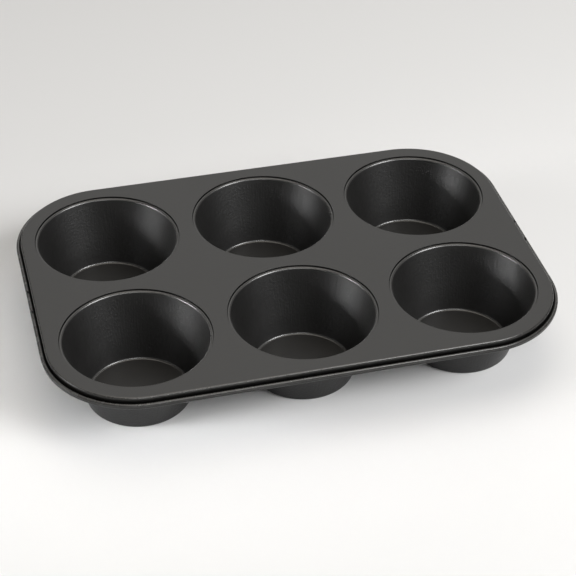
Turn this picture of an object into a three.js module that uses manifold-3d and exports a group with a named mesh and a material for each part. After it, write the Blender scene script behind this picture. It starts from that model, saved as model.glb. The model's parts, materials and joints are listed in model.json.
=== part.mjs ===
// Jumbo muffin pan: a pressed steel frame plate with a curled, wired rim, and six drawn cups seated in it.
// Millimetres, +Z up. The origin is the middle of the surface that the cups stand on.
// +X runs along the long side, to the right as seen from the front, and +Y runs to the back.
import * as THREE from 'three';
import { mergeGeometries, mergeVertices } from 'three/addons/utils/BufferGeometryUtils.js';
import Module from 'manifold-3d';

// Sheet metal
const panHeight = 48.4; // plate top above the surface that the cups stand on
const plateSheet = 0.6; // thickness of the frame plate
const cupSheet = 0.5; // thickness of a drawn cup
const seamGap = 0.3; // joint line between two pieces that are pressed together

// Cup pattern
const columnNames = ['left', 'centre', 'right']; // cups along X
const rowNames = ['front', 'back']; // cups along Y
const columnWeb = 11.6; // plate left between two seats along X
const rowWeb = 11.6; // plate left between two seats along Y

// Cup
const mouthRadius = 49.6; // to the crest of the lip
const lipLand = 0.3; // flat of the lip outside its crest
const lipDrop = 0.6; // lip crest below the plate top
const floorRadius = 33.1; // flat of the floor
const floorBend = 1.8; // inside bend between the floor and the wall

// Seat of a cup in the plate
const seatEdgeRound = 0.35; // round on the plate's edge above the seat
const collarBend = 0.2; // inside bend where the seat turns down into the collar
const collarLength = 4; // straight of the collar along the cup wall

// Plate outline, measured to the outer face of its side wall
const endMargin = 9.6; // seat edge to the side wall, on the short sides
const sideMargin = 11.1; // seat edge to the side wall, on the long sides
const cornerMargin = 8.9; // radius of a corner beyond that of a seat
const edgeBend = 0.8; // inside bend between the plate and its side wall

// Curled rim and the wire in it
const wireRadius = 1;
const curlTopDrop = 3.2; // top of the curl below the plate top
const curlLipBend = 0.6; // inside bend of the curl's lip
const curlLipSweep = 135; // degrees that the lip turns from the outer face towards the wall
const wireButtGap = 0.6; // between the wire's two ends, in the middle of a short side

// Notches in the curl's lip, a pair on each short side
const notchSpacing = 22; // centre to centre
const notchLength = 3; // along the rim
const notchRound = 0.6; // corner round of a notch

// Facets
const roundSegments = 32; // around a cup
const cornerSegments = 9; // around a corner of the plate
const wireSides = 8;
const weldStep = 1 / 64; // points nearer than this count as one where surfaces are stitched

// Sizes that follow from those above
const lipRound = collarBend + plateSheet + seamGap + cupSheet; // the bends of lip and collar share a centre
const lipTop = panHeight - lipDrop;
const lipCentre = new THREE.Vector2(mouthRadius, lipTop - lipRound);
const floorCentre = new THREE.Vector2(floorRadius, cupSheet + floorBend);
const seatRadius = mouthRadius + lipLand + seamGap;
const seatTop = lipTop - cupSheet - seamGap;
const plateUnderside = panHeight - plateSheet;
const columnPitch = 2 * seatRadius + columnWeb;
const rowPitch = 2 * seatRadius + rowWeb;
const halfLength = ((columnNames.length - 1) / 2) * columnPitch + seatRadius + endMargin;
const halfWidth = ((rowNames.length - 1) / 2) * rowPitch + seatRadius + sideMargin;
const cornerRadius = seatRadius + cornerMargin;
const edgeRound = edgeBend + plateSheet;
const curlRadius = wireRadius + seamGap; // inside of the curl, round the wire
const curlLipCentre = new THREE.Vector2(
  2 * curlRadius - curlLipBend,
  panHeight - curlTopDrop - plateSheet - curlLipBend,
);
const curlCentre = new THREE.Vector2(curlRadius, curlLipCentre.y - curlRise());
const wallLean = cupWallLean();

const wasm = await Module();
wasm.setup();

const coatedSteel = new THREE.MeshStandardMaterial({ color: '#504f4c', roughness: 0.45, metalness: 0.35 });
const bareWire = new THREE.MeshStandardMaterial({ color: '#8c8d8e', roughness: 0.4, metalness: 0.9 });

// Height between the two bends of the curl, at which the edge of its lip closes on the wire.
function curlRise() {
  const sweep = (curlLipSweep * Math.PI) / 180;
  const edgeAcross = curlLipCentre.x + curlLipBend * Math.cos(sweep) - curlRadius;
  return Math.sqrt(curlRadius ** 2 - edgeAcross ** 2) - curlLipBend * Math.sin(sweep);
}

// Angle of the cup wall from the vertical. The wall is the straight that touches the bends of lip and floor.
function cupWallLean() {
  const apart = lipCentre.clone().sub(floorCentre);
  return Math.acos((lipRound + floorBend) / apart.length()) - apart.angle();
}

// Points along an arc in the (radius, height) plane. Angles are in radians, both ends included.
function arc(centre, radius, from, to, steps) {
  return Array.from({ length: steps + 1 }, (_, i) => {
    const angle = from + ((to - from) * i) / steps;
    return new THREE.Vector2(centre.x + radius * Math.cos(angle), centre.y + radius * Math.sin(angle));
  });
}

// A profile turned about +Z.
function turned(profile) {
  return new THREE.LatheGeometry(profile, roundSegments).rotateX(Math.PI / 2);
}

// The same circle of points that turned() makes from one profile point.
function circle(radius, x, y) {
  return Array.from({ length: roundSegments }, (_, i) => {
    const angle = (i / roundSegments) * 2 * Math.PI;
    return new THREE.Vector2(x + radius * Math.sin(angle), y - radius * Math.cos(angle));
  });
}

// Places on the outer face of the plate's side wall, each with its outward normal.
// They run counter-clockwise from the back end of the right side.
function wallOutline() {
  const x = halfLength - cornerRadius;
  const y = halfWidth - cornerRadius;
  const corners = [[x, y], [-x, y], [-x, -y], [x, -y]];
  return corners.flatMap(([cx, cy], corner) =>
    Array.from({ length: cornerSegments + 1 }, (_, i) => {
      const angle = ((corner + i / cornerSegments) * Math.PI) / 2;
      const normal = new THREE.Vector2(Math.cos(angle), Math.sin(angle));
      return { place: new THREE.Vector2(cx, cy).addScaledVector(normal, cornerRadius), normal };
    }),
  );
}

// A section of (outward, height) points carried along places on the wall outline.
function swept(stations, section, { closedPath, closedSection }) {
  const positions = stations.flatMap(({ place, normal }) =>
    section.flatMap((point) => [place.x + normal.x * point.x, place.y + normal.y * point.x, point.y]),
  );
  const count = section.length;
  const pathSteps = closedPath ? stations.length : stations.length - 1;
  const sectionSteps = closedSection ? count : count - 1;
  const index = [];
  for (let i = 0; i < pathSteps; i += 1) {
    for (let j = 0; j < sectionSteps; j += 1) {
      const a = i * count + j;
      const b = i * count + ((j + 1) % count);
      const c = ((i + 1) % stations.length) * count + j;
      const d = ((i + 1) % stations.length) * count + ((j + 1) % count);
      index.push(a, b, d, a, d, c);
    }
  }
  if (!closedPath) {
    const last = (stations.length - 1) * count;
    for (const [a, b, c] of THREE.ShapeUtils.triangulateShape(section, [])) {
      index.push(a, b, c, last + a, last + c, last + b);
    }
  }
  return new THREE.BufferGeometry()
    .setAttribute('position', new THREE.Float32BufferAttribute(positions, 3))
    .setIndex(index);
}

// The flat of the plate inside its edges, at one height, with the cup holes left out.
function plateFlat(edgeInset, holeRadius, height, facesDown) {
  const outline = wallOutline().map(({ place, normal }) => place.clone().addScaledVector(normal, -edgeInset));
  const shape = new THREE.Shape(outline);
  shape.holes = cupPlaces().map(({ x, y }) => new THREE.Path(circle(holeRadius, x, y)));
  const flat = new THREE.ShapeGeometry(shape).translate(0, 0, height);
  if (facesDown) {
    flat.index.array.reverse();
  }
  return flat;
}

// Where the cups sit, with the name of each.
function cupPlaces() {
  return rowNames.flatMap((rowName, row) =>
    columnNames.map((columnName, column) => ({
      name: `cup_${rowName}_${columnName}`,
      x: (column - (columnNames.length - 1) / 2) * columnPitch,
      y: (row - (rowNames.length - 1) / 2) * rowPitch,
    })),
  );
}

// A closed surface as a solid, and a solid as a geometry.
function solid(geometry) {
  const bare = new THREE.BufferGeometry().setAttribute('position', geometry.getAttribute('position'));
  const merged = mergeVertices(bare.setIndex(geometry.index), weldStep);
  return new wasm.Manifold(
    new wasm.Mesh({
      numProp: 3,
      vertProperties: merged.getAttribute('position').array,
      triVerts: new Uint32Array(merged.index.array),
    }),
  );
}

function geometryOf(body) {
  const mesh = body.getMesh();
  return new THREE.BufferGeometry()
    .setAttribute('position', new THREE.BufferAttribute(mesh.vertProperties, 3))
    .setIndex(new THREE.BufferAttribute(mesh.triVerts, 1))
    .toNonIndexed();
}

function named(name, geometry, material) {
  geometry.computeVertexNormals();
  const mesh = new THREE.Mesh(geometry, material);
  mesh.name = name;
  return mesh;
}

// One cup: floor, bend, leaning wall, and a lip rolled outwards over the seat.
function cup() {
  const wallInwards = Math.PI - wallLean; // direction that the wall's inner face looks
  const outside = [
    new THREE.Vector2(0, 0),
    ...arc(floorCentre, floorBend + cupSheet, -Math.PI / 2, wallInwards - Math.PI, 3),
    ...arc(lipCentre, lipRound - cupSheet, wallInwards, Math.PI / 2, 2),
    new THREE.Vector2(mouthRadius + lipLand, lipTop - cupSheet),
  ];
  const inside = [
    new THREE.Vector2(mouthRadius + lipLand, lipTop),
    ...arc(lipCentre, lipRound, Math.PI / 2, wallInwards, 3),
    ...arc(floorCentre, floorBend, wallInwards - Math.PI, -Math.PI / 2, 3),
    new THREE.Vector2(0, cupSheet),
  ];
  return turned([...outside, ...inside]);
}

// The plate round one hole: a step down to the seat, and a collar turned down along the cup wall.
function seatAndCollar() {
  const wallInwards = Math.PI - wallLean;
  const wallDown = new THREE.Vector2(-Math.sin(wallLean), -Math.cos(wallLean));
  const downTheWall = wallDown.multiplyScalar(collarLength);
  const stepCentre = new THREE.Vector2(seatRadius + seatEdgeRound, panHeight - seatEdgeRound);
  const upperBend = arc(lipCentre, collarBend + plateSheet, Math.PI / 2, wallInwards, 2);
  const lowerBend = arc(lipCentre, collarBend, wallInwards, Math.PI / 2, 2);
  return turned([
    ...arc(stepCentre, seatEdgeRound, Math.PI / 2, Math.PI, 2),
    new THREE.Vector2(seatRadius, seatTop),
    ...upperBend,
    upperBend.at(-1).clone().add(downTheWall),
    lowerBend[0].clone().add(downTheWall),
    ...lowerBend,
    new THREE.Vector2(seatRadius + plateSheet, seatTop - plateSheet),
    new THREE.Vector2(seatRadius + plateSheet, plateUnderside),
  ]);
}

// The plate's edge: bend, side wall, and a curl that turns out, up and back in over the wire.
function rimSection() {
  const bendCentre = new THREE.Vector2(-edgeRound, panHeight - edgeRound);
  const lipEnd = (curlLipSweep * Math.PI) / 180;
  return [
    ...arc(bendCentre, edgeRound, Math.PI / 2, 0, 3),
    ...arc(curlCentre, curlRadius, -Math.PI, 0, 5),
    ...arc(curlLipCentre, curlLipBend, 0, lipEnd, 3),
    ...arc(curlLipCentre, curlLipBend + plateSheet, lipEnd, 0, 3),
    ...arc(curlCentre, curlRadius + plateSheet, 0, -Math.PI, 5),
    ...arc(bendCentre, edgeBend, 0, Math.PI / 2, 2),
  ];
}

// Cutters for the notches in the curl's lip, in the middle of each short side.
function notchCutters() {
  const lipReach = curlLipBend + plateSheet;
  const inner = curlLipCentre.x - lipReach; // in the slot between the lip and the wall
  const outer = curlLipCentre.x + curlLipBend; // the inside of the curl's outer face
  const half = notchLength / 2;
  const outline = new THREE.Shape();
  outline.moveTo(inner, -half);
  outline.lineTo(outer - notchRound, -half);
  outline.quadraticCurveTo(outer, -half, outer, notchRound - half);
  outline.lineTo(outer, half - notchRound);
  outline.quadraticCurveTo(outer, half, outer - notchRound, half);
  outline.lineTo(inner, half);
  const cut = { depth: 2 * lipReach, bevelEnabled: false, curveSegments: 3 };
  const notch = new THREE.ExtrudeGeometry(outline, cut);
  return [0, Math.PI].flatMap((turn) =>
    [-1, 1].map((side) =>
      notch
        .clone()
        .translate(halfLength, (side * notchSpacing) / 2, curlLipCentre.y)
        .rotateZ(turn),
    ),
  );
}

// The whole sheet of the plate: flats, six seats, the rim, and the notches cut from the rim.
function framePlate() {
  const strip = ['normal', 'uv'];
  const surfaces = [
    plateFlat(edgeRound, seatRadius + seatEdgeRound, panHeight, false),
    plateFlat(edgeRound, seatRadius + plateSheet, plateUnderside, true),
    swept(wallOutline(), rimSection(), { closedPath: true, closedSection: false }),
    ...cupPlaces().map(({ x, y }) => seatAndCollar().translate(x, y, 0)),
  ];
  surfaces.forEach((surface) => strip.forEach((name) => surface.deleteAttribute(name)));
  const whole = solid(mergeGeometries(surfaces));
  return geometryOf(notchCutters().reduce((left, cutter) => left.subtract(solid(cutter)), whole));
}

// The wire in the curl: one length bent round the whole rim, its ends butted in the middle of the left side.
function rimWire() {
  const outline = wallOutline();
  const firstOnLeft = 2 * (cornerSegments + 1); // the outline passes the left side here
  const towardsLeft = new THREE.Vector2(-1, 0);
  const end = (side) => ({
    place: new THREE.Vector2(-halfLength, (side * wireButtGap) / 2),
    normal: towardsLeft,
  });
  const stations = [end(-1), ...outline.slice(firstOnLeft), ...outline.slice(0, firstOnLeft), end(1)];
  const section = arc(curlCentre, wireRadius, 0, -2 * Math.PI, wireSides).slice(0, wireSides);
  return swept(stations, section, { closedPath: false, closedSection: true });
}

const pan = new THREE.Group();
pan.add(named('frame_plate', framePlate(), coatedSteel));
for (const { name, x, y } of cupPlaces()) {
  const placed = named(name, cup(), coatedSteel);
  placed.position.set(x, y, 0);
  pan.add(placed);
}
pan.add(named('rim_wire', rimWire(), bareWire));

export default pan;
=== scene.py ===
import json
import math

import bmesh
import bpy
from mathutils import Matrix, Vector

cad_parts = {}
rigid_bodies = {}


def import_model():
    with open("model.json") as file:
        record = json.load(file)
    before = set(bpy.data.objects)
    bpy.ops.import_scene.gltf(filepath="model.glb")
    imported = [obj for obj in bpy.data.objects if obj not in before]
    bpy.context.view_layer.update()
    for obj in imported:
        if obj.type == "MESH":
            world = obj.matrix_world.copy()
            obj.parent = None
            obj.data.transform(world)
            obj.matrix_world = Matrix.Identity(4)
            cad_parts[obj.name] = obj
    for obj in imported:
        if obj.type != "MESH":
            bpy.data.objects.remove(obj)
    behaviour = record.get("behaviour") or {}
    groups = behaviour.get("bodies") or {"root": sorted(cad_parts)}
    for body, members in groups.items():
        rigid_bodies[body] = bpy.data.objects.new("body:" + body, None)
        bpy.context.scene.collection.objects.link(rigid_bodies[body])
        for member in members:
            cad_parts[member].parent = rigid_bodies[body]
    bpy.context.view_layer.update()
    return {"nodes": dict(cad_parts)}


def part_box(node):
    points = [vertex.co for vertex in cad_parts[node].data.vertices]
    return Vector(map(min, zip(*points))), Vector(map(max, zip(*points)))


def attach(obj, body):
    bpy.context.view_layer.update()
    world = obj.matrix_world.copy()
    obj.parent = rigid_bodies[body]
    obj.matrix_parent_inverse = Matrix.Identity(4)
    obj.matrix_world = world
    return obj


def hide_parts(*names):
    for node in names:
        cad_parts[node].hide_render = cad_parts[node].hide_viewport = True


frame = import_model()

mm = 0.001
quarter = math.pi / 2
nearness = {"same": 1e-6, "weld": 2e-6, "mirror": 1e-5}  # metres within which points count as one

# sizes that the plate and the cups share, in mm: those of the solids, with lips that sit lower and closer
panFit = {
    "plateTop": 48.4,
    "plateSheet": 0.6,
    "cupSheet": 0.5,
    "seamGap": 0.3,
    "seamWidth": 0.15,  # between a lip and the edge of its seat, seen from above
    "mouthRadius": 49.6,
    "lipLand": 0.45,
    "lipDrop": 1.0,
    "floorRadius": 33.1,
    "floorBend": 1.8,
    "collarBend": 0.2,
    "roundSteps": 144,
}
lipRound = panFit["collarBend"] + panFit["plateSheet"] + panFit["seamGap"] + panFit["cupSheet"]
lipTop = panFit["plateTop"] - panFit["lipDrop"]
lipCentre = (panFit["mouthRadius"], lipTop - lipRound)
floorCentre = (panFit["floorRadius"], panFit["cupSheet"] + panFit["floorBend"])
seatRadius = panFit["mouthRadius"] + panFit["lipLand"] + panFit["seamWidth"]
apart = Vector(lipCentre) - Vector(floorCentre)
bendsApart = (lipRound + panFit["floorBend"]) / apart.length
wallLean = math.acos(bendsApart) - math.atan2(apart.y, apart.x)
wallFacing = math.pi - wallLean  # the way that the inner face of a cup wall looks
cupNames = [name for name in sorted(frame["nodes"]) if name.startswith("cup_")]


def arcPoints(centre, radius, start, end, steps):
    turns = [start + (end - start) * i / steps for i in range(steps + 1)]
    return [(centre[0] + radius * math.cos(t), centre[1] + radius * math.sin(t)) for t in turns]


def along(first, second, distance):
    step = (Vector(second) - Vector(first)).normalized() * distance
    return (first[0] + step.x, first[1] + step.y)


# straight stretches get a support point near each end, so that shading stays flat between the bends
supports = {"fromLength": 1.4, "inset": 0.5}  # mm


def supported(points):
    done = []
    for here, there in zip(points, points[1:]):
        done.append(here)
        if math.dist(here, there) > supports["fromLength"]:
            done.append(along(here, there, supports["inset"]))
            done.append(along(there, here, supports["inset"]))
    return done + [points[-1]]


def deselectAll():
    bpy.ops.object.select_all(action="DESELECT")


# one vertex drawn out along a section, (across, up) in mm, standing at distance y
def drawSection(name, points, y=0.0):
    deselectAll()
    bpy.ops.mesh.primitive_plane_add(size=mm)
    piece = bpy.context.object
    piece.name = name
    bpy.ops.object.mode_set(mode="EDIT")
    bpy.ops.mesh.select_all(action="SELECT")
    bpy.ops.mesh.merge(type="CENTER")
    places = [Vector((x * mm, y * mm, z * mm)) for x, z in points]
    bpy.ops.transform.translate(value=places[0])
    for here, there in zip(places, places[1:]):
        bpy.ops.mesh.extrude_vertices_move(TRANSFORM_OT_translate={"value": there - here})
    return piece


def weldAll():
    bpy.ops.mesh.select_all(action="SELECT")
    bpy.ops.mesh.remove_doubles(threshold=nearness["weld"])


# once round the upright axis, with the seam welded
def spinRound():
    bpy.ops.mesh.select_all(action="SELECT")
    bpy.ops.mesh.spin(steps=panFit["roundSteps"], angle=2 * math.pi, center=(0, 0, 0), axis=(0, 0, 1))
    weldAll()


def closeUp():
    weldAll()
    bpy.ops.mesh.normals_make_consistent(inside=False)
    bpy.ops.object.mode_set(mode="OBJECT")


def smoothFaces(piece, degrees=38):
    deselectAll()
    piece.select_set(True)
    bpy.context.view_layer.objects.active = piece
    bpy.ops.object.shade_smooth_by_angle(angle=math.radians(degrees))


def selectWhere(piece, test):
    mesh = bmesh.from_edit_mesh(piece.data)
    bpy.ops.mesh.select_all(action="DESELECT")
    for edge in mesh.edges:
        if test(edge):
            edge.select_set(True)
    mesh.select_flush_mode()
    bmesh.update_edit_mesh(piece.data)


def nodeCentre(name):
    low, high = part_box(name)
    return Vector(((low[0] + high[0]) / 2, (low[1] + high[1]) / 2, 0))


# camera: the photograph's viewing angle, in degrees and mm
cameraView = {
    "azimuth": -14.694,
    "elevation": 37.686,
    "roll": 0.547,
    "distance": 1159.16,
    "target": (-3.683, -30.1, 48.4),
    "lens": 107.64,
    "sensor": 36,
    "clipEnd": 50,
}


def addCamera():
    turn, rise = math.radians(cameraView["azimuth"]), math.radians(cameraView["elevation"])
    back = Vector((math.sin(turn) * math.cos(rise), -math.cos(turn) * math.cos(rise), math.sin(rise)))
    right = (-back).cross(Vector((0, 0, 1))).normalized()
    up = right.cross(-back)
    roll = math.radians(cameraView["roll"])
    right, up = math.cos(roll) * right + math.sin(roll) * up, math.cos(roll) * up - math.sin(roll) * right
    place = (Vector(cameraView["target"]) + back * cameraView["distance"]) * mm
    data = bpy.data.cameras.new("photoCamera")
    data.lens = cameraView["lens"]
    data.sensor_width = cameraView["sensor"]
    data.clip_end = cameraView["clipEnd"]
    camera = bpy.data.objects.new("photoCamera", data)
    bpy.context.collection.objects.link(camera)
    camera.matrix_world = Matrix.Translation(place) @ Matrix((right, up, back)).transposed().to_4x4()
    bpy.context.scene.camera = camera


addCamera()
print("camera placed")

# one cup, turned from its section, then copied to each seat
cupShape = {
    "bendSteps": 10,
    "lipSteps": 12,
    "underLipSteps": 8,
    "edgeRound": 0.12,
    "edgeSteps": 3,
    "turnEach": 1.1,  # radians from the marks of one cup to the next, so that no two look alike
    "lipWearAndHighlight": 0.7,  # how much the lip is marked, next to the bend round the floor: a thinner film there, and a painted highlight
}


def cupSection():
    sheet = panFit["cupSheet"]
    edge = panFit["mouthRadius"] + panFit["lipLand"]
    soft = cupShape["edgeRound"]
    bend = panFit["floorBend"]
    bendSteps, edgeSteps = cupShape["bendSteps"], cupShape["edgeSteps"]
    floorEnd = wallFacing - math.pi
    outside = [(0, 0)]
    outside += arcPoints(floorCentre, bend + sheet, -quarter, floorEnd, bendSteps)
    outside += arcPoints(lipCentre, lipRound - sheet, wallFacing, quarter, cupShape["underLipSteps"])
    outside += arcPoints((edge - soft, lipTop - sheet + soft), soft, -quarter, 0, edgeSteps)
    inside = arcPoints((edge - soft, lipTop - soft), soft, 0, quarter, edgeSteps)
    inside += arcPoints(lipCentre, lipRound, quarter, wallFacing, cupShape["lipSteps"])
    inside += arcPoints(floorCentre, bend, floorEnd, -quarter, bendSteps)
    inside += [(0, sheet)]
    section = outside + inside
    return supported(section)


def makeCup():
    cup = drawSection("cupBlank", cupSection())
    spinRound()
    closeUp()
    return cup


bendMarks = {
    "offArc": 0.05,  # mm that a point may lie off its arc
    "rise": 1.6,  # above 1, the mark is full over more than the very middle
}


# how near a point is to the middle of an arc of the section, from 0 to 1
def crestOf(point, centre, radius, start, end):
    away = Vector(point) - Vector(centre)
    share = (math.atan2(away.y, away.x) - start) / (end - start)
    if abs(away.length - radius) > bendMarks["offArc"] or not 0 < share < 1:
        return 0
    return min(1, bendMarks["rise"] * math.sin(math.pi * share))


# the lighter colour over the lip and over the floor ring is painted highlight; over the lip the film is
# also thinner
def cupCrest(point):
    section = (math.hypot(point.x, point.y), point.z)
    lip = crestOf(section, lipCentre, lipRound, quarter, wallFacing)
    ring = crestOf(section, floorCentre, panFit["floorBend"], -quarter, wallFacing - math.pi)
    return max(cupShape["lipWearAndHighlight"] * lip, ring)


# the crests of the bends are marked: the film is thinnest over the lips and the plate edge, and the lighter
# colour over every crest, the floor ring's too, is painted highlight
def markBends(piece, crest):
    marks = piece.data.attributes.new("bend", "FLOAT", "POINT")
    for vertex, mark in zip(piece.data.vertices, marks.data):
        mark.value = crest(vertex.co / mm)


# where a point is on its own cup, so that drawing marks run down each wall
def rememberPlace(cup, turn):
    marks = cup.data.attributes.new("cupPlace", "FLOAT_VECTOR", "POINT")
    spin = Matrix.Rotation(turn, 3, "Z")
    for vertex, mark in zip(cup.data.vertices, marks.data):
        mark.vector = spin @ vertex.co


def placeCups():
    blank = makeCup()
    cups = []
    for i, name in enumerate(cupNames):
        cup = bpy.data.objects.new(name.replace("cup_", "drawnCup_"), blank.data.copy())
        bpy.context.collection.objects.link(cup)
        rememberPlace(cup, cupShape["turnEach"] * i)
        markBends(cup, cupCrest)
        deselectAll()
        cup.select_set(True)
        bpy.context.view_layer.objects.active = cup
        cup.location = nodeCentre(name)
        bpy.ops.object.transform_apply(location=True, rotation=False, scale=False)
        smoothFaces(cup)
        cups.append(cup)
    bpy.data.objects.remove(blank)
    return cups


cups = placeCups()
print("cups turned:", len(cups))

# frame plate: six seats turned, one corner of the rim spun and mirrored, then the flats filled between them
seatShape = {
    "edgeRound": 0.15,
    "collarLength": 4.0,
    "flatBand": 1.2,
    "edgeSteps": 6,
    "bendSteps": 8,
}
rimShape = {
    "halfLength": 171.8,
    "halfWidth": 117.3,
    "cornerRadius": 59.1,
    "edgeBend": 0.8,
    "wireRadius": 1.0,
    "curlTopDrop": 3.2,
    "lipBend": 0.6,
    "lipSweep": 135.0,
    "edgeSteps": 8,
    "curlSteps": 14,
    "lipSteps": 10,
    "cornerSteps": 30,
    "flatBand": 1.2,
}
notchShape = {
    "spacing": 22.0,
    "length": 3.0,
    "round": 0.6,
    "roundSteps": 4,
}


def seatSection():
    top, sheet = panFit["plateTop"], panFit["plateSheet"]
    bend, bendSteps = panFit["collarBend"], seatShape["bendSteps"]
    soft, flat = seatShape["edgeRound"], seatShape["flatBand"]
    seatTop = lipTop - panFit["cupSheet"] - panFit["seamGap"]
    down = Vector((-math.sin(wallLean), -math.cos(wallLean))) * seatShape["collarLength"]
    upper = arcPoints(lipCentre, bend + sheet, quarter, wallFacing, bendSteps)
    lower = arcPoints(lipCentre, bend, wallFacing, quarter, bendSteps)
    collarEnd = [tuple(Vector(point) + down) for point in (upper[-1], lower[0])]
    section = [(seatRadius + soft + flat, top)]
    section += arcPoints((seatRadius + soft, top - soft), soft, quarter, math.pi, seatShape["edgeSteps"])
    section += [(seatRadius, seatTop)] + upper + collarEnd + lower
    section += [(seatRadius + sheet, seatTop - sheet), (seatRadius + sheet, top - sheet)]
    section += [(seatRadius + sheet + flat, top - sheet)]
    return supported(section)


def makeSeat():
    seat = drawSection("seatBlank", seatSection())
    spinRound()
    bpy.ops.object.mode_set(mode="OBJECT")
    return seat


# bends of the rim, across from the outer face of the side wall and up
edgeRound = rimShape["edgeBend"] + panFit["plateSheet"]
edgeCentre = (-edgeRound, panFit["plateTop"] - edgeRound)
curlRadius = rimShape["wireRadius"] + panFit["seamGap"]
curlLipEnd = math.radians(rimShape["lipSweep"])
curlLipRound = rimShape["lipBend"] + panFit["plateSheet"]
curlLipCentre = (
    2 * curlRadius - rimShape["lipBend"],
    panFit["plateTop"] - rimShape["curlTopDrop"] - curlLipRound,
)
curlLipAcross = curlLipCentre[0] + rimShape["lipBend"] * math.cos(curlLipEnd) - curlRadius
curlRise = math.sqrt(curlRadius ** 2 - curlLipAcross ** 2) - rimShape["lipBend"] * math.sin(curlLipEnd)
curlCentre = (curlRadius, curlLipCentre[1] - curlRise)  # the edge of the lip closes on the wire
curlRound = curlRadius + panFit["plateSheet"]


def rimSection():
    top, sheet = panFit["plateTop"], panFit["plateSheet"]
    edgeSteps, curlSteps, lipSteps = rimShape["edgeSteps"], rimShape["curlSteps"], rimShape["lipSteps"]
    flatEnd = -edgeRound - rimShape["flatBand"]
    section = [(flatEnd, top)]
    section += arcPoints(edgeCentre, edgeRound, quarter, 0, edgeSteps)
    section += arcPoints(curlCentre, curlRadius, -math.pi, 0, curlSteps)
    section += arcPoints(curlLipCentre, rimShape["lipBend"], 0, curlLipEnd, lipSteps)
    section += arcPoints(curlLipCentre, curlLipRound, curlLipEnd, 0, lipSteps)
    section += arcPoints(curlCentre, curlRound, 0, -math.pi, curlSteps)
    section += arcPoints(edgeCentre, rimShape["edgeBend"], 0, quarter, edgeSteps)
    section += [(flatEnd, top - sheet)]
    return supported(section)


# one corner is spun, run straight to the two middles, and mirrored over both
def makeRim():
    cornerX = (rimShape["halfLength"] - rimShape["cornerRadius"]) * mm
    cornerY = (rimShape["halfWidth"] - rimShape["cornerRadius"]) * mm
    section = [(rimShape["halfLength"] + across, up) for across, up in rimSection()]
    rim = drawSection("curledRim", section, cornerY / mm)
    bpy.ops.mesh.select_all(action="SELECT")
    bpy.ops.mesh.spin(  # minus turns it counter-clockwise
        steps=rimShape["cornerSteps"], angle=-quarter, center=(cornerX, cornerY, 0), axis=(0, 0, 1)
    )
    near = nearness["same"]
    selectWhere(rim, lambda edge: all(abs(v.co.y - cornerY) < near for v in edge.verts))
    bpy.ops.mesh.extrude_edges_move(TRANSFORM_OT_translate={"value": (0, -cornerY, 0)})
    selectWhere(rim, lambda edge: all(abs(v.co.x - cornerX) < near for v in edge.verts))
    bpy.ops.mesh.extrude_edges_move(TRANSFORM_OT_translate={"value": (-cornerX, 0, 0)})
    bpy.ops.object.mode_set(mode="OBJECT")
    mirror = rim.modifiers.new("mirror", "MIRROR")
    mirror.use_axis = (True, True, False)
    mirror.merge_threshold = nearness["mirror"]
    bpy.ops.object.modifier_apply(modifier=mirror.name)
    return rim


def fillFlat(plate, height):
    level = height * mm

    def openAtLevel(edge):
        return edge.is_boundary and all(abs(v.co.z - level) < nearness["same"] for v in edge.verts)

    selectWhere(plate, openAtLevel)
    bpy.ops.mesh.fill(use_beauty=True)


# a block with the notch's two outer corners rounded, on the right (1) or left (-1) short side
def makeCutter(side, step):
    inner = curlLipCentre[0] - curlLipRound
    outer = curlLipCentre[0] + rimShape["lipBend"]
    middle = side * (rimShape["halfLength"] + (inner + outer) / 2)
    place = Vector((middle, step * notchShape["spacing"] / 2, curlLipCentre[1] + curlLipRound)) * mm
    deselectAll()
    bpy.ops.mesh.primitive_cube_add(size=mm, location=place)
    cutter = bpy.context.object
    cutter.scale = (outer - inner, notchShape["length"], 2 * curlLipRound)
    bpy.ops.object.transform_apply(location=False, rotation=False, scale=True)
    bpy.ops.object.mode_set(mode="EDIT")

    def outerUpright(edge):
        first, second = (vertex.co for vertex in edge.verts)
        return abs(first.z - second.z) > nearness["same"] and first.x * side > 0

    selectWhere(cutter, outerUpright)
    bpy.ops.mesh.bevel(
        offset=notchShape["round"] * mm, segments=notchShape["roundSteps"], affect="EDGES"
    )
    bpy.ops.object.mode_set(mode="OBJECT")
    return cutter


def cutNotches(plate):
    for cutter in [makeCutter(side, step) for side in (-1, 1) for step in (-1, 1)]:
        deselectAll()
        plate.select_set(True)
        bpy.context.view_layer.objects.active = plate
        notch = plate.modifiers.new("notch", "BOOLEAN")
        notch.operation = "DIFFERENCE"
        notch.solver = "EXACT"
        notch.object = cutter
        bpy.ops.object.modifier_apply(modifier=notch.name)
        bpy.data.objects.remove(cutter)


# across from the outer face of the side wall, measured square to the rounded outline
def acrossWall(point):
    cornerX = rimShape["halfLength"] - rimShape["cornerRadius"]
    cornerY = rimShape["halfWidth"] - rimShape["cornerRadius"]
    away = (max(abs(point.x) - cornerX, 0), max(abs(point.y) - cornerY, 0))
    return math.hypot(*away) - rimShape["cornerRadius"]


# the lighter colour over the plate edge and the lip of the curl is painted highlight as well as thinner
# film
def plateCrest(point):
    section = (acrossWall(point), point.z)
    edge = crestOf(section, edgeCentre, edgeRound, 0, quarter)
    lip = crestOf(section, curlLipCentre, curlLipRound, -quarter, math.pi)
    return max(edge, lip)


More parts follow.
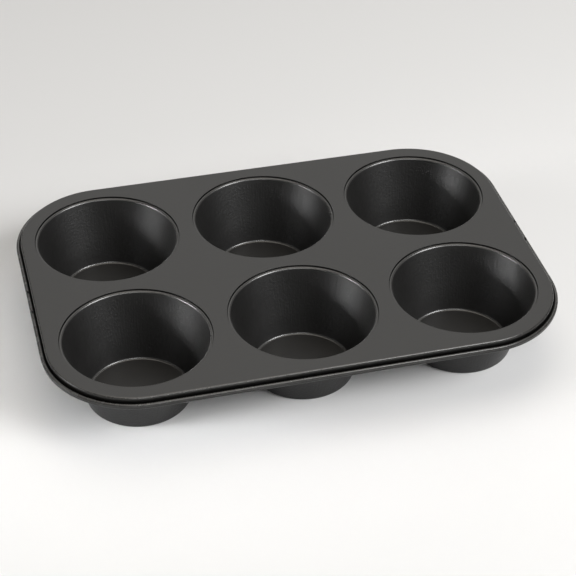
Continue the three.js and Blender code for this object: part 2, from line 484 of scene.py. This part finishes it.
def makePlate():
    rim = makeRim()
    seat = makeSeat()
    parts = [rim]
    for name in cupNames:
        ring = bpy.data.objects.new("seatRing", seat.data.copy())
        bpy.context.collection.objects.link(ring)
        ring.location = nodeCentre(name)
        parts.append(ring)
    bpy.data.objects.remove(seat)
    deselectAll()
    for part in parts:
        part.select_set(True)
    bpy.context.view_layer.objects.active = rim
    bpy.ops.object.join()
    rim.name = "pressedPlate"
    bpy.ops.object.mode_set(mode="EDIT")
    fillFlat(rim, panFit["plateTop"])
    fillFlat(rim, panFit["plateTop"] - panFit["plateSheet"])
    closeUp()
    cutNotches(rim)
    markBends(rim, plateCrest)
    smoothFaces(rim)
    return rim


plate = makePlate()
print("plate pressed:", len(plate.data.polygons), "faces")

# finishes: a baked dark film over the pressed steel, and a flatter one on the wire in the curl, whose
# near-black colour is painted shade for the hollow of the curl
coating = {
    "dark": (0.0042, 0.0040, 0.0038, 1),
    "light": (0.0066, 0.0063, 0.0059, 1),
    "thinAndHighlight": (0.0520, 0.0510, 0.0490, 1),  # over the crests of the bends: a thinner film, and painted highlight
    "roughLow": 0.36,
    "roughHigh": 0.44,
    "thinRough": 0.26,
    "ior": 1.8,
    "sheen": 0.5,
    "speckleScale": 1500,
    "peelScale": 420,
    "driftScale": 16,
    "grainDetail": 2,
    "driftDetail": 3,
    "peelInTone": 0.3,  # shares of the tone and of the height
    "driftInTone": 0.3,
    "peelInHeight": 0.7,
    "toneSpread": (0.32, 0.68),
    "breakScale": 160,
    "breakDetail": 3,
    "breakSpread": (0.35, 0.65),
    "breakLeast": 0.85,  # share of the thinning that is left where it breaks off
    "bumpStrength": 0.6,
    "bumpDepth": 0.08,  # mm
}
# a lower sheen: on the underside partly painted shade, on the side wall and in the fold of the curl painted
# shade
plainFilmAndShade = {
    "sheen": 0.19,
    "tilt": 0.15,  # how far a face looks down before it counts as the underside
    "wallDrop": 0.7,  # mm below the top of the plate
    "wallReach": 0.2,  # mm to both sides of the outer face
    "foldDrop": 0.4,  # mm below the top of the curl
}
drawMarks = {
    "wallRadius": 42.0,
    "stretch": 0.10,  # share of the height that counts, so that the marks run long down the wall
    "markScale": 900,
    "peelScale": 620,
    "detail": 3,
    "markShare": 0.45,
    "middle": 0.5,  # where the marks are neither high nor low
    "depth": 0.42,  # mm
    "toneShare": 0.35,
    "wallLow": (1.5, 6.0),  # the marks fade in over this height, and out over the next
    "wallHigh": (42.5, 46.0),
}
# near-black wire colours: painted shade for the dark inside of the curl
wireFinishAndShade = {
    "dark": (0.010, 0.010, 0.010, 1),
    "light": (0.018, 0.018, 0.018, 1),
    "roughLow": 0.50,
    "roughHigh": 0.65,
}


def node(tree, kind, sockets=None, **values):
    made = tree.nodes.new(kind)
    for name, value in values.items():
        setattr(made, name, value)
    for name, value in (sockets or {}).items():
        made.inputs[name].default_value = value
    return made


def newGroup(name, inputs, outputs):
    group = bpy.data.node_groups.new(name, "ShaderNodeTree")
    for direction, sockets in (("INPUT", inputs), ("OUTPUT", outputs)):
        for socket, kind in sockets.items():
            group.interface.new_socket(socket, in_out=direction, socket_type="NodeSocket" + kind)
    return group, node(group, "NodeGroupInput"), node(group, "NodeGroupOutput")


# grain of the film: fine speckle, the peel that it bakes with, and a slow drift of tone
def makeGrainGroup():
    group, start, end = newGroup(
        "coatingGrain",
        {"Vector": "Vector", "Speckle Scale": "Float", "Peel Scale": "Float", "Drift Scale": "Float"},
        {"Tone": "Float", "Height": "Float"},
    )
    darkest, lightest = coating["toneSpread"]
    speckle = node(group, "ShaderNodeTexNoise", {"Detail": coating["grainDetail"]})
    peel = node(group, "ShaderNodeTexNoise", {"Detail": coating["grainDetail"]})
    drift = node(group, "ShaderNodeTexNoise", {"Detail": coating["driftDetail"]})
    fineTone = node(group, "ShaderNodeMix", {"Factor": coating["peelInTone"]}, data_type="FLOAT")
    wholeTone = node(group, "ShaderNodeMix", {"Factor": coating["driftInTone"]}, data_type="FLOAT")
    spread = node(group, "ShaderNodeMapRange", {"From Min": darkest, "From Max": lightest}, clamp=True)
    height = node(group, "ShaderNodeMix", {"Factor": coating["peelInHeight"]}, data_type="FLOAT")
    link = group.links.new
    for noise, scale in ((speckle, "Speckle Scale"), (peel, "Peel Scale"), (drift, "Drift Scale")):
        link(start.outputs["Vector"], noise.inputs["Vector"])
        link(start.outputs[scale], noise.inputs["Scale"])
    link(speckle.outputs["Fac"], fineTone.inputs["A"])
    link(peel.outputs["Fac"], fineTone.inputs["B"])
    link(fineTone.outputs["Result"], wholeTone.inputs["A"])
    link(drift.outputs["Fac"], wholeTone.inputs["B"])
    link(wholeTone.outputs["Result"], spread.inputs["Value"])
    link(spread.outputs["Result"], end.inputs["Tone"])
    link(speckle.outputs["Fac"], height.inputs["A"])
    link(peel.outputs["Fac"], height.inputs["B"])
    link(height.outputs["Result"], end.inputs["Height"])
    return group


# colour and roughness of the film, thinner, smoother and lighter over the bends, in broken stretches; the
# lighter colour is painted highlight as well as thinner film
def makeFilmGroup():
    group, start, end = newGroup(
        "coatingFilm",
        {
            "Vector": "Vector", "Tone": "Float", "Bend": "Float", "Break Scale": "Float",
            "Dark": "Color", "Light": "Color", "Thin And Highlight": "Color",
            "Rough Low": "Float", "Rough High": "Float", "Thin Rough": "Float",
        },
        {"Color": "Color", "Roughness": "Float"},
    )
    low, high = coating["breakSpread"]
    ends = {"From Min": low, "From Max": high, "To Min": coating["breakLeast"]}
    breaks = node(group, "ShaderNodeTexNoise", {"Detail": coating["breakDetail"]})
    broken = node(group, "ShaderNodeMapRange", ends)
    wearAndHighlight = node(group, "ShaderNodeMath", operation="MULTIPLY")
    tone = node(group, "ShaderNodeMix", data_type="RGBA")
    # the lighter colour mixed in over the crests is painted highlight
    wornAndHighlit = node(group, "ShaderNodeMix", data_type="RGBA")
    rough = node(group, "ShaderNodeMix", data_type="FLOAT")
    wornRough = node(group, "ShaderNodeMix", data_type="FLOAT")
    link = group.links.new
    link(start.outputs["Vector"], breaks.inputs["Vector"])
    link(start.outputs["Break Scale"], breaks.inputs["Scale"])
    link(breaks.outputs["Fac"], broken.inputs["Value"])
    link(broken.outputs["Result"], wearAndHighlight.inputs[0])
    link(start.outputs["Bend"], wearAndHighlight.inputs[1])
    for mix, least, most in ((tone, "Dark", "Light"), (rough, "Rough Low", "Rough High")):
        link(start.outputs["Tone"], mix.inputs["Factor"])
        link(start.outputs[least], mix.inputs["A"])
        link(start.outputs[most], mix.inputs["B"])
    for mix, whole, thinAndHighlight in ((wornAndHighlit, tone, "Thin And Highlight"), (wornRough, rough, "Thin Rough")):
        link(wearAndHighlight.outputs["Value"], mix.inputs["Factor"])
        link(whole.outputs["Result"], mix.inputs["A"])
        link(start.outputs[thinAndHighlight], mix.inputs["B"])
    link(wornAndHighlit.outputs["Result"], end.inputs["Color"])
    link(wornRough.outputs["Result"], end.inputs["Roughness"])
    return group


grainGroup = makeGrainGroup()
filmGroup = makeFilmGroup()


def grainNode(tree):
    place = node(tree, "ShaderNodeTexCoord")
    scales = {
        "Speckle Scale": coating["speckleScale"],
        "Peel Scale": coating["peelScale"],
        "Drift Scale": coating["driftScale"],
    }
    grain = node(tree, "ShaderNodeGroup", node_tree=grainGroup)
    for name, value in scales.items():
        grain.inputs[name].default_value = value
    tree.links.new(place.outputs["Object"], grain.inputs["Vector"])
    return place, grain


def newMaterial(name):
    material = bpy.data.materials.new(name)
    material.use_nodes = True
    tree = material.node_tree
    return material, tree, tree.nodes["Principled BSDF"]


def addBump(tree, shader, height, depth, under=None):
    bump = node(tree, "ShaderNodeBump", {"Strength": coating["bumpStrength"], "Distance": depth * mm})
    tree.links.new(height, bump.inputs["Height"])
    if under:
        tree.links.new(under.outputs["Normal"], bump.inputs["Normal"])
    tree.links.new(bump.outputs["Normal"], shader.inputs["Normal"])
    return bump


def addFilm(tree, shader, place, tone, sheen):
    values = {
        "Dark": "dark", "Light": "light", "Thin And Highlight": "thinAndHighlight", "Break Scale": "breakScale",
        "Rough Low": "roughLow", "Rough High": "roughHigh", "Thin Rough": "thinRough",
    }
    film = node(tree, "ShaderNodeGroup", node_tree=filmGroup)
    for socket, value in values.items():
        film.inputs[socket].default_value = coating[value]
    # the bend mark brings in the painted highlight colour over the crests
    bend = node(tree, "ShaderNodeAttribute", attribute_name="bend")
    tree.links.new(place.outputs["Object"], film.inputs["Vector"])
    tree.links.new(tone, film.inputs["Tone"])
    tree.links.new(bend.outputs["Fac"], film.inputs["Bend"])
    tree.links.new(film.outputs["Color"], shader.inputs["Base Color"])
    tree.links.new(film.outputs["Roughness"], shader.inputs["Roughness"])
    shader.inputs["IOR"].default_value = coating["ior"]
    shader.inputs["Specular IOR Level"].default_value = sheen


def plateMaterial(name, sheen):
    material, tree, shader = newMaterial(name)
    place, grain = grainNode(tree)
    addFilm(tree, shader, place, grain.outputs["Tone"], sheen)
    addBump(tree, shader, grain.outputs["Height"], coating["bumpDepth"])
    return material


# where the wall is: nought on the floor and on the lip
def wallMask(tree, place):
    parts = node(tree, "ShaderNodeSeparateXYZ")
    tree.links.new(place.outputs["Vector"], parts.inputs[0])
    fades = []
    for start, end in (drawMarks["wallLow"], drawMarks["wallHigh"][::-1]):
        fade = node(tree, "ShaderNodeMapRange", interpolation_type="SMOOTHSTEP")
        fade.inputs["From Min"].default_value = start * mm
        fade.inputs["From Max"].default_value = end * mm
        tree.links.new(parts.outputs["Z"], fade.inputs["Value"])
        fades.append(fade.outputs["Result"])
    both = node(tree, "ShaderNodeMath", operation="MULTIPLY")
    tree.links.new(fades[0], both.inputs[0])
    tree.links.new(fades[1], both.inputs[1])
    return both.outputs["Value"]


# long marks that drawing leaves down a cup wall, over the peel of the stretched sheet
def wallMarks(tree, place):
    level = node(tree, "ShaderNodeVectorMath", {1: (1, 1, 0)}, operation="MULTIPLY")
    outwards = node(tree, "ShaderNodeVectorMath", operation="NORMALIZE")
    ring = node(tree, "ShaderNodeVectorMath", {"Scale": drawMarks["wallRadius"] * mm}, operation="SCALE")
    squeezed = node(tree, "ShaderNodeVectorMath", {1: (0, 0, drawMarks["stretch"])}, operation="MULTIPLY")
    around = node(tree, "ShaderNodeVectorMath", operation="ADD")
    detail = drawMarks["detail"]
    marks = node(tree, "ShaderNodeTexNoise", {"Scale": drawMarks["markScale"], "Detail": detail})
    peel = node(tree, "ShaderNodeTexNoise", {"Scale": drawMarks["peelScale"], "Detail": detail})
    mixed = node(tree, "ShaderNodeMix", {"Factor": drawMarks["markShare"]}, data_type="FLOAT")
    link = tree.links.new
    link(place.outputs["Vector"], level.inputs[0])
    link(level.outputs["Vector"], outwards.inputs[0])
    link(outwards.outputs["Vector"], ring.inputs[0])
    link(place.outputs["Vector"], squeezed.inputs[0])
    link(ring.outputs["Vector"], around.inputs[0])
    link(squeezed.outputs["Vector"], around.inputs[1])
    link(around.outputs["Vector"], marks.inputs["Vector"])
    link(place.outputs["Vector"], peel.inputs["Vector"])
    link(peel.outputs["Fac"], mixed.inputs["A"])
    link(marks.outputs["Fac"], mixed.inputs["B"])
    return mixed.outputs["Result"]


def cupMaterial(name, sheen):
    material, tree, shader = newMaterial(name)
    place, grain = grainNode(tree)
    cupPlace = node(tree, "ShaderNodeAttribute", attribute_name="cupPlace")
    onWall = wallMask(tree, cupPlace)
    marks = wallMarks(tree, cupPlace)
    share = node(tree, "ShaderNodeMath", {1: drawMarks["toneShare"]}, operation="MULTIPLY")
    tone = node(tree, "ShaderNodeMix", data_type="FLOAT")
    level = node(tree, "ShaderNodeMath", {1: drawMarks["middle"]}, operation="SUBTRACT")
    relief = node(tree, "ShaderNodeMath", operation="MULTIPLY")
    link = tree.links.new
    link(onWall, share.inputs[0])
    link(share.outputs["Value"], tone.inputs["Factor"])
    link(grain.outputs["Tone"], tone.inputs["A"])
    link(marks, tone.inputs["B"])
    link(marks, level.inputs[0])
    link(level.outputs["Value"], relief.inputs[0])
    link(onWall, relief.inputs[1])
    addFilm(tree, shader, place, tone.outputs["Result"], sheen)
    grainBump = addBump(tree, shader, grain.outputs["Height"], coating["bumpDepth"])
    addBump(tree, shader, relief.outputs["Value"], drawMarks["depth"], grainBump)
    return material


def wireMaterial():
    material, tree, shader = newMaterial("drawnWire")
    _, grain = grainNode(tree)
    # near black: painted shade for the hollow it lies in
    colour = node(tree, "ShaderNodeMix", data_type="RGBA")
    colour.inputs["A"].default_value = wireFinishAndShade["dark"]
    colour.inputs["B"].default_value = wireFinishAndShade["light"]
    rough = node(tree, "ShaderNodeMapRange")
    rough.inputs["To Min"].default_value = wireFinishAndShade["roughLow"]
    rough.inputs["To Max"].default_value = wireFinishAndShade["roughHigh"]
    link = tree.links.new
    link(grain.outputs["Tone"], colour.inputs["Factor"])
    link(grain.outputs["Tone"], rough.inputs["Value"])
    link(colour.outputs["Result"], shader.inputs["Base Color"])
    link(rough.outputs["Result"], shader.inputs["Roughness"])
    shader.inputs["Specular IOR Level"].default_value = plainFilmAndShade["sheen"]
    addBump(tree, shader, grain.outputs["Height"], coating["bumpDepth"])
    return material


def dress(piece, *finishes):
    piece.data.materials.clear()
    for finish in finishes:
        piece.data.materials.append(finish)


# places of painted shade: on the side wall and in the curl, but not over the crest of its lip
def sheltered(point):
    below = panFit["plateTop"] - point.z
    onWall = below > plainFilmAndShade["wallDrop"] and abs(acrossWall(point)) < plainFilmAndShade["wallReach"]
    return onWall or below > rimShape["curlTopDrop"] + plainFilmAndShade["foldDrop"]


# lower sheen on the underside of the sheet, partly a plainer film and partly painted shade for the shadowed
# floor it mirrors; where the pan shelters its own plate, lower sheen as painted shade
def usePlainFilmAndShade(piece, alsoAt=None):
    for face in piece.data.polygons:
        under = face.normal.z < -plainFilmAndShade["tilt"]
        face.material_index = int(under or bool(alsoAt and alsoAt(face.center / mm)))


plateFinishes = [
    plateMaterial("plateCoating", coating["sheen"]),
    plateMaterial("plateUndersideAndShade", plainFilmAndShade["sheen"]),
]
cupFinishes = [
    cupMaterial("cupCoating", coating["sheen"]),
    cupMaterial("cupUndersideAndShade", plainFilmAndShade["sheen"]),
]
dress(plate, *plateFinishes)
usePlainFilmAndShade(plate, sheltered)
for cup in cups:
    dress(cup, *cupFinishes)
    usePlainFilmAndShade(cup)
dress(frame["nodes"]["rim_wire"], wireMaterial())
print("finishes on")

# who carries what
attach(plate, "root")
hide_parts("frame_plate")
for cup, name in zip(cups, cupNames):
    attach(cup, "root")
    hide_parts(name)

# studio: a pale floor, a pale sweep behind that fades to a dim room, and soft lamps round the pan
studio = {
    "floorName": "studioFloor",
    "floorSize": 12,
    "floorColour": (0.77, 0.77, 0.77, 1),
    "floorRough": 0.9,
    "worldColour": (1.0, 0.985, 0.955, 1),
    "worldAxis": (0.20, 0.72, 0.66),  # the way to the middle of the sweep
    "worldFrom": 0.80,  # cosines of the angles from there, between which it fades
    "worldTo": 0.95,
    "worldDim": 0.05,
    "worldBright": 0.815,
    "lampColour": (1, 1, 1),
}
softboxes = {  # degrees, with the azimuth counter-clockwise from the right, then metres and watts
    "leftBox": {"azimuth": -176, "elevation": 16.2, "away": 0.75, "size": (0.32, 0.085), "power": 0.165},
    "leftFillBox": {"azimuth": 178, "elevation": 25, "away": 2.5, "size": (0.94, 0.56), "power": 9},
    "rightBox": {"azimuth": -43, "elevation": 37, "away": 2.5, "size": (1.20, 1.30), "power": 63},
    "edgeBox": {"azimuth": -40, "elevation": 60, "away": 2.5, "size": (1.00, 0.60), "power": 21},
    "frontBox": {"azimuth": -95, "elevation": 45, "away": 2.5, "size": (0.94, 0.62), "power": 9.4},
    "topBox": {
        "azimuth": 90, "elevation": 86, "away": 2.5, "size": (1.90, 1.90), "power": 13.5,
        "colour": (1.0, 0.93, 0.83),
    },
}
openLamp = {"aim": "frame_plate", "beam": 180}
grids = {"leftBox": {"aim": "cup_front_centre", "beam": 26}}  # a grid narrows the beam to one row of cups
flags = {  # what is shaded from a lamp: the plate would glare in the low ones, so its edge has its own
    "leftBox": [plate.name],
    "rightBox": [plate.name],
    "edgeBox": [studio["floorName"]] + [cup.name for cup in cups],
}


def addFloor():
    deselectAll()
    bpy.ops.mesh.primitive_plane_add(size=studio["floorSize"])
    floor = bpy.context.object
    floor.name = studio["floorName"]
    material, _, shader = newMaterial("paleFloor")
    shader.inputs["Base Color"].default_value = studio["floorColour"]
    shader.inputs["Roughness"].default_value = studio["floorRough"]
    dress(floor, material)


def addWorld():
    world = bpy.data.worlds.new("studioWorld")
    bpy.context.scene.world = world
    world.use_nodes = True
    tree = world.node_tree
    background = tree.nodes["Background"]
    background.inputs["Color"].default_value = studio["worldColour"]
    place = node(tree, "ShaderNodeTexCoord")
    axis = Vector(studio["worldAxis"]).normalized()
    towards = node(tree, "ShaderNodeVectorMath", {1: axis}, operation="DOT_PRODUCT")
    strength = node(tree, "ShaderNodeMapRange", interpolation_type="SMOOTHSTEP")
    ends = {
        "From Min": "worldFrom", "From Max": "worldTo", "To Min": "worldDim", "To Max": "worldBright",
    }
    for socket, value in ends.items():
        strength.inputs[socket].default_value = studio[value]
    link = tree.links.new
    link(place.outputs["Generated"], towards.inputs[0])
    link(towards.outputs["Value"], strength.inputs["Value"])
    link(strength.outputs["Result"], background.inputs["Strength"])


def addFlag(lamp, names):
    flag = bpy.data.collections.new(lamp.name + "Flag")
    for name in names:
        flag.objects.link(bpy.data.objects[name])
    for shaded in flag.collection_objects:
        shaded.light_linking.link_state = "EXCLUDE"
    lamp.light_linking.receiver_collection = flag


def addSoftboxes():
    for name, box in softboxes.items():
        turn, rise = math.radians(box["azimuth"]), math.radians(box["elevation"])
        way = Vector((math.cos(turn) * math.cos(rise), math.sin(turn) * math.cos(rise), math.sin(rise)))
        grid = grids.get(name, openLamp)
        data = bpy.data.lights.new(name, "AREA")
        data.shape = "RECTANGLE"
        data.size, data.size_y = box["size"]
        data.energy = box["power"]
        data.color = box.get("colour", studio["lampColour"])
        data.spread = math.radians(grid["beam"])
        lamp = bpy.data.objects.new(name, data)
        bpy.context.collection.objects.link(lamp)
        lamp.location = way * box["away"]
        facing = nodeCentre(grid["aim"]) - lamp.location
        lamp.rotation_euler = facing.to_track_quat("-Z", "Y").to_euler()
        if name in flags:
            addFlag(lamp, flags[name])


addFloor()
addWorld()
addSoftboxes()
bpy.context.scene.view_settings.view_transform = "Standard"
print("studio lit")
